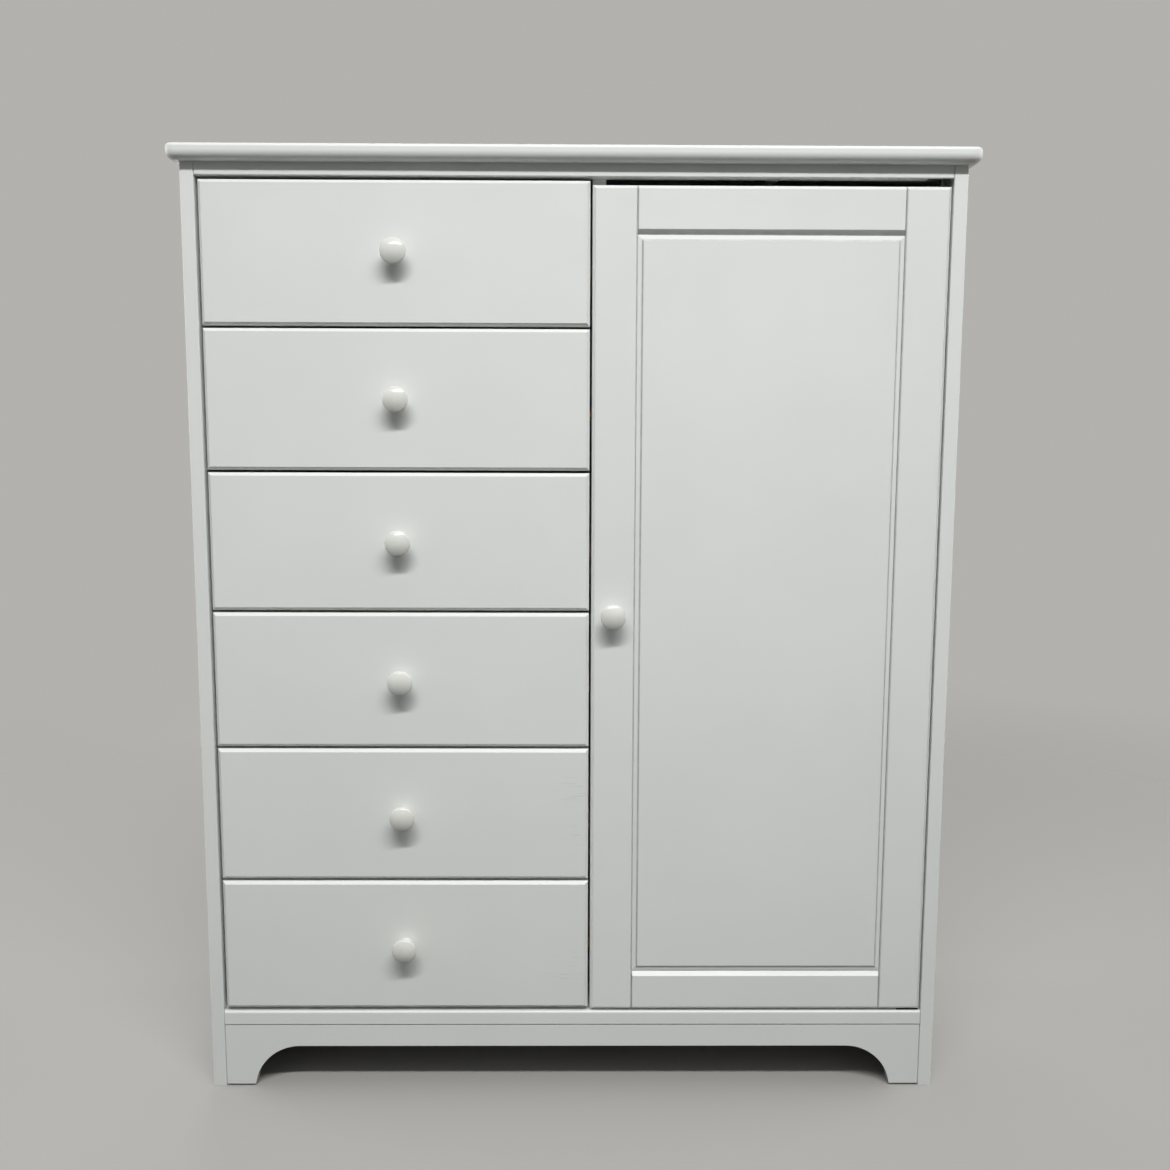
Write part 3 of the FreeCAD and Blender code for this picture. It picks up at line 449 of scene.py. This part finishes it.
FINISHES = {
    "top_panel": paint_across,
    "left_side": paint_upright,
    "right_side": paint_upright,
    "centre_divider": paint_upright,
    "bottom_panel": paint_across,
    "top_front_rail": paint_across,
    "front_apron": paint_across,
    "base_back_rail": pine_raw,
    "back_panel": hardboard,
    "corner_blocks": pine_raw,
    "left_runners": beech,
    "right_runners": beech,
    "clothes_rod": chrome,
    "rod_hangers": chrome,
    "door_catch": plastic,
    "pivot_plates": blacked_steel,
    "door_left_stile": paint_stiles,
    "door_right_stile": paint_stiles,
    "door_top_rail": paint_top_rail,
    "door_bottom_rail": paint_bottom_rail,
    "door_panel": paint_panel,
    "door_knob": enamel,
    "catch_plate": zinc,
    "pivot_bushes": blacked_steel,
}
DRAWER_FINISHES = {
    "front": paint_drawers,
    "knob": enamel,
    "left_side": pine_deep,
    "right_side": pine_deep,
    "back": pine_wide,
    "bottom": plywood,
}
DRAWER_COUNT = 6
DRAWERS = [f"drawer_{number + 1}" for number in range(DRAWER_COUNT)]
for drawer in DRAWERS:
    for piece_name, drawer_finish in DRAWER_FINISHES.items():
        FINISHES[f"{drawer}_{piece_name}"] = drawer_finish
for node_name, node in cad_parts.items():
    node.data.materials.clear()
    node.data.materials.append(FINISHES[node_name])


# Fixings
def mesh_of(name, shape):
    """The mesh that a worked shape comes to. The shape itself is freed."""
    mesh = bpy.data.meshes.new(name)
    shape.to_mesh(mesh)
    shape.free()
    return mesh


def keep_mesh(name, mesh):
    """A finished object for a mesh that is already in place."""
    thing = bpy.data.objects.new(name, mesh)
    bpy.context.scene.collection.objects.link(thing)
    return thing


def settle(thing):
    """The plain mesh that an object with modifiers comes to. The object itself is removed."""
    bpy.context.view_layer.update()
    view = bpy.context.evaluated_depsgraph_get()
    mesh = bpy.data.meshes.new_from_object(thing.evaluated_get(view))
    bpy.data.objects.remove(thing)
    return mesh


# Sides of a lathed head, and how near its points lie to be welded
HEAD_STEPS = 20
WELD = 1e-6
# The second arm of a cross cutter is a hair smaller, so that no two of its faces lie in one plane
SHY = 0.999


def turned_head(name, profile):
    """A head lathed about Z, which stands on z 0."""
    shape = bmesh.new()
    points = [shape.verts.new((radius, 0, height)) for radius, height in profile]
    edges = [shape.edges.new(pair) for pair in zip(points, points[1:])]
    bmesh.ops.spin(shape, geom=points + edges, cent=(0, 0, 0), axis=UP, angle=FULL_TURN, steps=HEAD_STEPS,
                   use_merge=True)
    bmesh.ops.remove_doubles(shape, verts=shape.verts, dist=WELD)
    bmesh.ops.recalc_face_normals(shape, faces=shape.faces)
    return keep_mesh(name, mesh_of(name, shape))


def crossed_head(name, profile, length, width, depth):
    """A lathed head with a cross recess in its top."""
    head = turned_head(name, profile)
    top = max(height for _, height in profile)
    shape = bmesh.new()
    for size in ((length, width, 2 * depth), (width, length * SHY, 2 * depth * SHY)):
        place = Matrix.Translation((0, 0, top)) @ Matrix.Diagonal((*size, 1))
        bmesh.ops.create_cube(shape, size=1, matrix=place)
    cutter = keep_mesh(f"{name}_cutter", mesh_of(f"{name}_cutter", shape))
    cut = head.modifiers.new("recess", "BOOLEAN")
    cut.solver = "EXACT"
    cut.use_self = True
    cut.object = cutter
    cut_mesh = settle(head)
    bpy.data.objects.remove(cutter)
    return keep_mesh(name, cut_mesh)


# Half outlines of the heads, as radius and height
PAN_HEAD = [(0, -0.0004), (0.0041, -0.0004), (0.0041, 0.0006), (0.0038, 0.0015), (0.0030, 0.0022),
            (0.0016, 0.0026), (0, 0.0027)]
FLAT_HEAD = [(0, -0.0004), (0.0031, -0.0004), (0.0032, 0.00002), (0.0030, 0.00012), (0, 0.00014)]
BRAD_HEAD = [(0, -0.0004), (0.0014, -0.0004), (0.0015, 0.0001), (0.0011, 0.0003), (0, 0.00038)]
pan_head = crossed_head("pan_head", PAN_HEAD, length=0.0046, width=0.0011, depth=0.0012)
flat_head = crossed_head("flat_head", FLAT_HEAD, length=0.0038, width=0.0009, depth=0.0001)
brad_head = turned_head("brad_head", BRAD_HEAD)


def set_heads(tree, given, end, points):
    """Sets a head on each point, facing one way and turned by chance about its own axis."""
    aim = put(tree, "FunctionNodeAlignRotationToVector", {"Vector": given["Facing"]}, axis="Z").outputs[0]
    chance = put(tree, "FunctionNodeRandomValue", {"Seed": given["Seed"], CHANCE_MOST: FULL_TURN},
                 data_type="FLOAT").outputs[CHANCE_NUMBER]
    spin = put(tree, "FunctionNodeAxisAngleToRotation", {"Axis": UP, "Angle": chance}).outputs[0]
    turn = put(tree, "FunctionNodeRotateRotation", {"Rotation": aim, "Rotate By": spin},
               rotation_space="LOCAL").outputs[0]
    head = put(tree, "GeometryNodeObjectInfo", {"Object": given["Head"]}).outputs["Geometry"]
    placed = put(tree, "GeometryNodeInstanceOnPoints", {"Points": points, "Instance": head, "Rotation": turn})
    real = put(tree, "GeometryNodeRealizeInstances", {"Geometry": placed.outputs[0]}).outputs[0]
    done = put(tree, "GeometryNodeSetMaterial", {"Geometry": real, "Material": given["Finish"]}).outputs[0]
    tree.links.new(done, end.inputs["Geometry"])


HEAD_INPUTS = (
    ("Geometry", "NodeSocketGeometry", None),
    ("Head", "NodeSocketObject", None),
    ("Facing", "NodeSocketVector", (0.0, 0.0, 1.0)),
    ("Finish", "NodeSocketMaterial", None),
    ("Seed", "NodeSocketInt", 1),
)
HEAD_OUTPUTS = (("Geometry", "NodeSocketGeometry"),)


def make_head_rows():
    """Heads in even rows: a line of them, repeated by a second step."""
    tree, given, end = new_group("head_rows", "GeometryNodeTree", HEAD_INPUTS + (
        ("Start", "NodeSocketVector", None),
        ("Step", "NodeSocketVector", None),
        ("Count", "NodeSocketInt", 1),
        ("Row Step", "NodeSocketVector", None),
        ("Rows", "NodeSocketInt", 1),
    ), HEAD_OUTPUTS)
    line = put(tree, "GeometryNodeMeshLine",
               {"Count": given["Count"], "Start Location": given["Start"], "Offset": given["Step"]},
               mode="OFFSET")
    starts = put(tree, "GeometryNodeMeshLine", {"Count": given["Rows"], "Offset": given["Row Step"]},
                 mode="OFFSET")
    grid = put(tree, "GeometryNodeInstanceOnPoints",
               {"Points": starts.outputs[0], "Instance": line.outputs[0]})
    points = put(tree, "GeometryNodeRealizeInstances", {"Geometry": grid.outputs[0]}).outputs[0]
    set_heads(tree, given, end, points)
    return tree


def make_head_border():
    """Heads along an upright rectangle, a set spacing apart."""
    tree, given, end = new_group("head_border", "GeometryNodeTree", HEAD_INPUTS + (
        ("Centre", "NodeSocketVector", None),
        ("Width", "NodeSocketFloat", 1.0),
        ("Height", "NodeSocketFloat", 1.0),
        ("Spacing", "NodeSocketFloat", 0.12),
    ), HEAD_OUTPUTS)
    outline = put(tree, "GeometryNodeCurvePrimitiveQuadrilateral",
                  {"Width": given["Width"], "Height": given["Height"]}).outputs[0]
    upright = put(tree, "GeometryNodeTransform",
                  {"Geometry": outline, "Translation": given["Centre"], "Rotation": (QUARTER_TURN, 0, 0)})
    stops = put(tree, "GeometryNodeResampleCurve", {"Curve": upright.outputs[0], "Length": given["Spacing"]},
                mode="LENGTH")
    points = put(tree, "GeometryNodeCurveToPoints", {"Curve": stops.outputs[0]}, mode="EVALUATED").outputs[0]
    set_heads(tree, given, end, points)
    return tree


head_rows = make_head_rows()
head_border = make_head_border()


def rows(head, facing, start, step=(0, 0, 0), count=1, row_step=(0, 0, 0), row_count=1):
    """A part with heads in rows."""
    return head_rows, {
        "Head": head, "Facing": facing, "Start": start, "Step": step, "Count": count, "Row Step": row_step,
        "Rows": row_count,
    }


def border(head, facing, centre, width, height, spacing):
    """A part with heads along an upright rectangle."""
    return head_border, {
        "Head": head, "Facing": facing, "Centre": centre, "Width": width, "Height": height,
        "Spacing": spacing,
    }


def fixings(name, body, *parts, finish=zinc):
    """One piece made of the heads that its parts ask for."""
    whole = bmesh.new()
    for tree, inputs in parts:
        asked = {**inputs, "Finish": finish}
        thing = keep_mesh(f"{name}_part", bpy.data.meshes.new(f"{name}_part"))
        nodes = thing.modifiers.new("heads", "NODES")
        nodes.node_group = tree
        for socket in tree.interface.items_tree:
            if socket.in_out == "INPUT" and socket.name in asked:
                nodes[socket.identifier] = asked[socket.name]
        whole.from_mesh(settle(thing))
    joined = mesh_of(name, whole)
    joined.materials.append(finish)
    piece = keep_mesh(name, joined)
    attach(piece, body)


def middle(node):
    """The middle of a node's box."""
    low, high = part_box(node)
    return (low + high) / 2


# Screws that hold the knobs from behind, and the one through the strike plate
for drawer in DRAWERS:
    knob_middle = middle(f"{drawer}_knob")
    front_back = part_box(f"{drawer}_front")[1].y
    fixings(f"{drawer}_knob_screw", drawer,
            rows(pan_head, TO_BACK, (knob_middle.x, front_back, knob_middle.z)))
door_knob_middle = middle("door_knob")
door_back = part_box("door_left_stile")[1].y
strike_middle, strike_face = middle("catch_plate"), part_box("catch_plate")[1].y
fixings("door_knob_screw", "door",
        rows(pan_head, TO_BACK, (door_knob_middle.x, door_back, door_knob_middle.z)))
fixings("strike_screw", "door",
        rows(flat_head, TO_BACK, (strike_middle.x, strike_face, strike_middle.z)))

# Screws through the runners
RUNNER_HEIGHT = 0.014
RUNNER_SCREWS = 3
drawer_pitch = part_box("drawer_1_front")[0].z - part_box("drawer_2_front")[0].z
runner_low, runner_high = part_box("left_runners")
runner_step = (runner_high.y - runner_low.y) / RUNNER_SCREWS
runner_y = runner_low.y + runner_step / 2
runner_z = runner_low.z + RUNNER_HEIGHT / 2
runner_pitch = {"step": (0, runner_step, 0), "count": RUNNER_SCREWS, "row_step": (0, 0, drawer_pitch),
                "row_count": DRAWER_COUNT}
fixings("runner_screws", "carcass",
        rows(flat_head, TO_RIGHT, (runner_high.x, runner_y, runner_z), **runner_pitch),
        rows(flat_head, TO_LEFT, (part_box("right_runners")[0].x, runner_y, runner_z), **runner_pitch))

# Screws of the pivots, the catch and the rod's hangers
PIVOT_SCREW_INSET = 0.0075
plate_low, plate_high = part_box("pivot_plates")
deck_top, rail_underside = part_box("bottom_panel")[1].z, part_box("top_front_rail")[0].z
pivot_screw = (plate_low.x + PIVOT_SCREW_INSET, (plate_low.y + plate_high.y) / 2)
fixings("pivot_plate_screws", "carcass",
        rows(flat_head, UP, (*pivot_screw, deck_top)),
        rows(flat_head, DOWN, (*pivot_screw, rail_underside)), finish=blacked_steel)
bush_low, bush_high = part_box("pivot_bushes")
fixings("pivot_bush_screws", "door",
        rows(flat_head, DOWN, (*pivot_screw, bush_low.z)),
        rows(flat_head, UP, (*pivot_screw, bush_high.z)), finish=blacked_steel)
CATCH_SCREW_GAP = 0.028
catch_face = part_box("door_catch")[1].x
catch_middle = middle("door_catch")
fixings("catch_screws", "carcass",
        rows(pan_head, TO_RIGHT, (catch_face, catch_middle.y, catch_middle.z - CATCH_SCREW_GAP / 2),
             step=(0, 0, CATCH_SCREW_GAP), count=2))
HANGER_PLATE_THICKNESS = 0.003
HANGER_PLATE_WIDTH = 0.026
HANGER_SCREW_GAP = 0.032
hanger_low, hanger_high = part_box("rod_hangers")
hanger_z = hanger_high.z - HANGER_PLATE_THICKNESS
hanger_reach = hanger_high.y - hanger_low.y - HANGER_PLATE_WIDTH
fixings("hanger_screws", "carcass",
        rows(pan_head, DOWN, (middle("rod_hangers").x - HANGER_SCREW_GAP / 2,
                              hanger_low.y + HANGER_PLATE_WIDTH / 2, hanger_z),
             step=(HANGER_SCREW_GAP, 0, 0), count=2, row_step=(0, hanger_reach, 0), row_count=2))

# Nails round the back panel, and along the divider and the deck behind it
NAIL_INSET = 0.006
NAIL_SPACING = 0.11
DIVIDER_NAILS = 11
DECK_NAILS = 9
back_low, back_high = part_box("back_panel")
back_middle = (back_low + back_high) / 2
fixings("back_nails", "carcass",
        border(brad_head, TO_BACK, (back_middle.x, back_high.y, back_middle.z),
               width=back_high.x - back_low.x - 2 * NAIL_INSET,
               height=back_high.z - back_low.z - 2 * NAIL_INSET, spacing=NAIL_SPACING),
        rows(brad_head, TO_BACK, (middle("centre_divider").x, back_high.y, deck_top + NAIL_SPACING),
             step=(0, 0, NAIL_SPACING), count=DIVIDER_NAILS),
        rows(brad_head, TO_BACK, (back_low.x + NAIL_SPACING, back_high.y, middle("bottom_panel").z),
             step=(NAIL_SPACING, 0, 0), count=DECK_NAILS))

# Nails up through each drawer's bottom into its back
BOTTOM_NAILS = 4
for drawer in DRAWERS:
    bottom_low, bottom_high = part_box(f"{drawer}_bottom")
    bottom_step = (bottom_high.x - bottom_low.x) / BOTTOM_NAILS
    fixings(f"{drawer}_bottom_nails", drawer,
            rows(brad_head, DOWN, (bottom_low.x + bottom_step / 2, middle(f"{drawer}_back").y, bottom_low.z),
                 step=(bottom_step, 0, 0), count=BOTTOM_NAILS))
for spare in (pan_head, flat_head, brad_head):
    bpy.data.objects.remove(spare)


# Floor, light and camera
FLOOR_REACH = 9
FADE_START, FADE_END = 1.0, 3.4
AMBIENT_STRENGTH = 0.46
AMBIENT_RISE = (-0.1, 0.65)
CAMERA_SPOT = Vector((0.002, -1.8955, 1.0016))
CAMERA_PITCH, CAMERA_YAW, CAMERA_ROLL = math.radians(-7.127), math.radians(0.47), math.radians(0.188)
SENSOR, LENS = 36, 36


def seen_share(tree):
    """One for the rays that look straight at, mirror or look through to what is behind the part."""
    path = put(tree, "ShaderNodeLightPath").outputs
    mirrored = reckon(tree, "MAXIMUM", path["Is Glossy Ray"], path["Is Transmission Ray"])
    return reckon(tree, "MAXIMUM", path["Is Camera Ray"], mirrored)


def lay_floor():
    """A plain pale floor that fades into the backdrop far from the part."""
    shape = bmesh.new()
    bmesh.ops.create_circle(shape, cap_ends=True, radius=FLOOR_REACH, segments=64)
    floor = keep_mesh("floor", mesh_of("floor", shape))
    finish, tree, shader, place = new_finish("pale_floor")
    tree.links.new(tint(tree, seen_share(tree), FLOOR_BOUNCE, FLOOR_SEEN), shader.inputs["Base Color"])
    shader.inputs["Roughness"].default_value = 0.75
    shader.inputs["Specular IOR Level"].default_value = 0.2
    reach = reckon_place(tree, "LENGTH", place, result="Value")
    clear = put(tree, "ShaderNodeBsdfTransparent").outputs[0]
    faded = put(tree, "ShaderNodeMixShader",
                {0: spread(tree, reach, FADE_START, FADE_END), 1: shader.outputs[0], 2: clear})
    tree.links.new(faded.outputs[0], tree.nodes["Material Output"].inputs["Surface"])
    floor.data.materials.append(finish)


def set_world():
    """Soft light from all round, dimmer from below, with a plain backdrop behind it."""
    world = bpy.data.worlds.new("studio")
    world.use_nodes = True
    tree = world.node_tree
    light = tree.nodes["Background"]
    way = put(tree, "ShaderNodeTexCoord").outputs["Generated"]
    above = spread(tree, axes(tree, way)["Z"], *AMBIENT_RISE)
    tree.links.new(tint(tree, above, AMBIENT_BELOW, AMBIENT_ABOVE), light.inputs["Color"])
    light.inputs["Strength"].default_value = AMBIENT_STRENGTH
    drop = put(tree, "ShaderNodeBackground", {"Color": BACKDROP, "Strength": 1.0}).outputs[0]
    both = put(tree, "ShaderNodeMixShader", {0: seen_share(tree), 1: light.outputs[0], 2: drop})
    tree.links.new(both.outputs[0], tree.nodes["World Output"].inputs["Surface"])
    bpy.context.scene.world = world


def hang_light(name, spot, aim, width, depth, power, opening):
    """A soft rectangular light that looks at a point and throws over an opening given in degrees."""
    lamp = bpy.data.lights.new(name, "AREA")
    lamp.shape = "RECTANGLE"
    lamp.size, lamp.size_y = width, depth
    lamp.energy = power
    lamp.spread = math.radians(opening)
    thing = bpy.data.objects.new(name, lamp)
    thing.location = spot
    thing.visible_camera = False
    thing.rotation_euler = (Vector(aim) - Vector(spot)).to_track_quat("-Z", "Y").to_euler()
    bpy.context.scene.collection.objects.link(thing)


def set_camera():
    """The camera at the photograph's place and angle."""
    level = math.cos(CAMERA_PITCH)
    ahead = Vector((math.sin(CAMERA_YAW) * level, math.cos(CAMERA_YAW) * level, math.sin(CAMERA_PITCH)))
    side = Vector((math.cos(CAMERA_YAW), -math.sin(CAMERA_YAW), 0))
    upright = side.cross(ahead)
    right = side * math.cos(CAMERA_ROLL) + upright * math.sin(CAMERA_ROLL)
    up = right.cross(ahead)
    camera = bpy.data.cameras.new("camera")
    camera.sensor_width, camera.lens = SENSOR, LENS
    thing = bpy.data.objects.new("camera", camera)
    thing.matrix_world = Matrix.Translation(CAMERA_SPOT) @ Matrix((right, up, -ahead)).transposed().to_4x4()
    bpy.context.scene.collection.objects.link(thing)
    bpy.context.scene.camera = thing


lay_floor()
set_world()
# A strip overhead lights the front; the washes stand behind the front plane, for the sides and the back
hang_light("ceiling_strip", spot=(0.25, -2.18, 3.34), aim=(0.05, -0.18, 0.6), width=3.2, depth=0.14, power=26,
           opening=80)
hang_light("left_wash", spot=(-3.2, 0.5, 1.3), aim=(-0.56, 0.1, 0.8), width=2.0, depth=1.6, power=34,
           opening=180)
hang_light("right_wash", spot=(3.2, 0.5, 1.3), aim=(0.56, 0.1, 0.8), width=2.0, depth=1.6, power=28,
           opening=180)
hang_light("rear_wash", spot=(-0.6, 3.4, 1.5), aim=(0, 0.2, 0.8), width=2.4, depth=1.6, power=42,
           opening=180)
set_camera()
bpy.context.scene.view_settings.view_transform = "Standard"
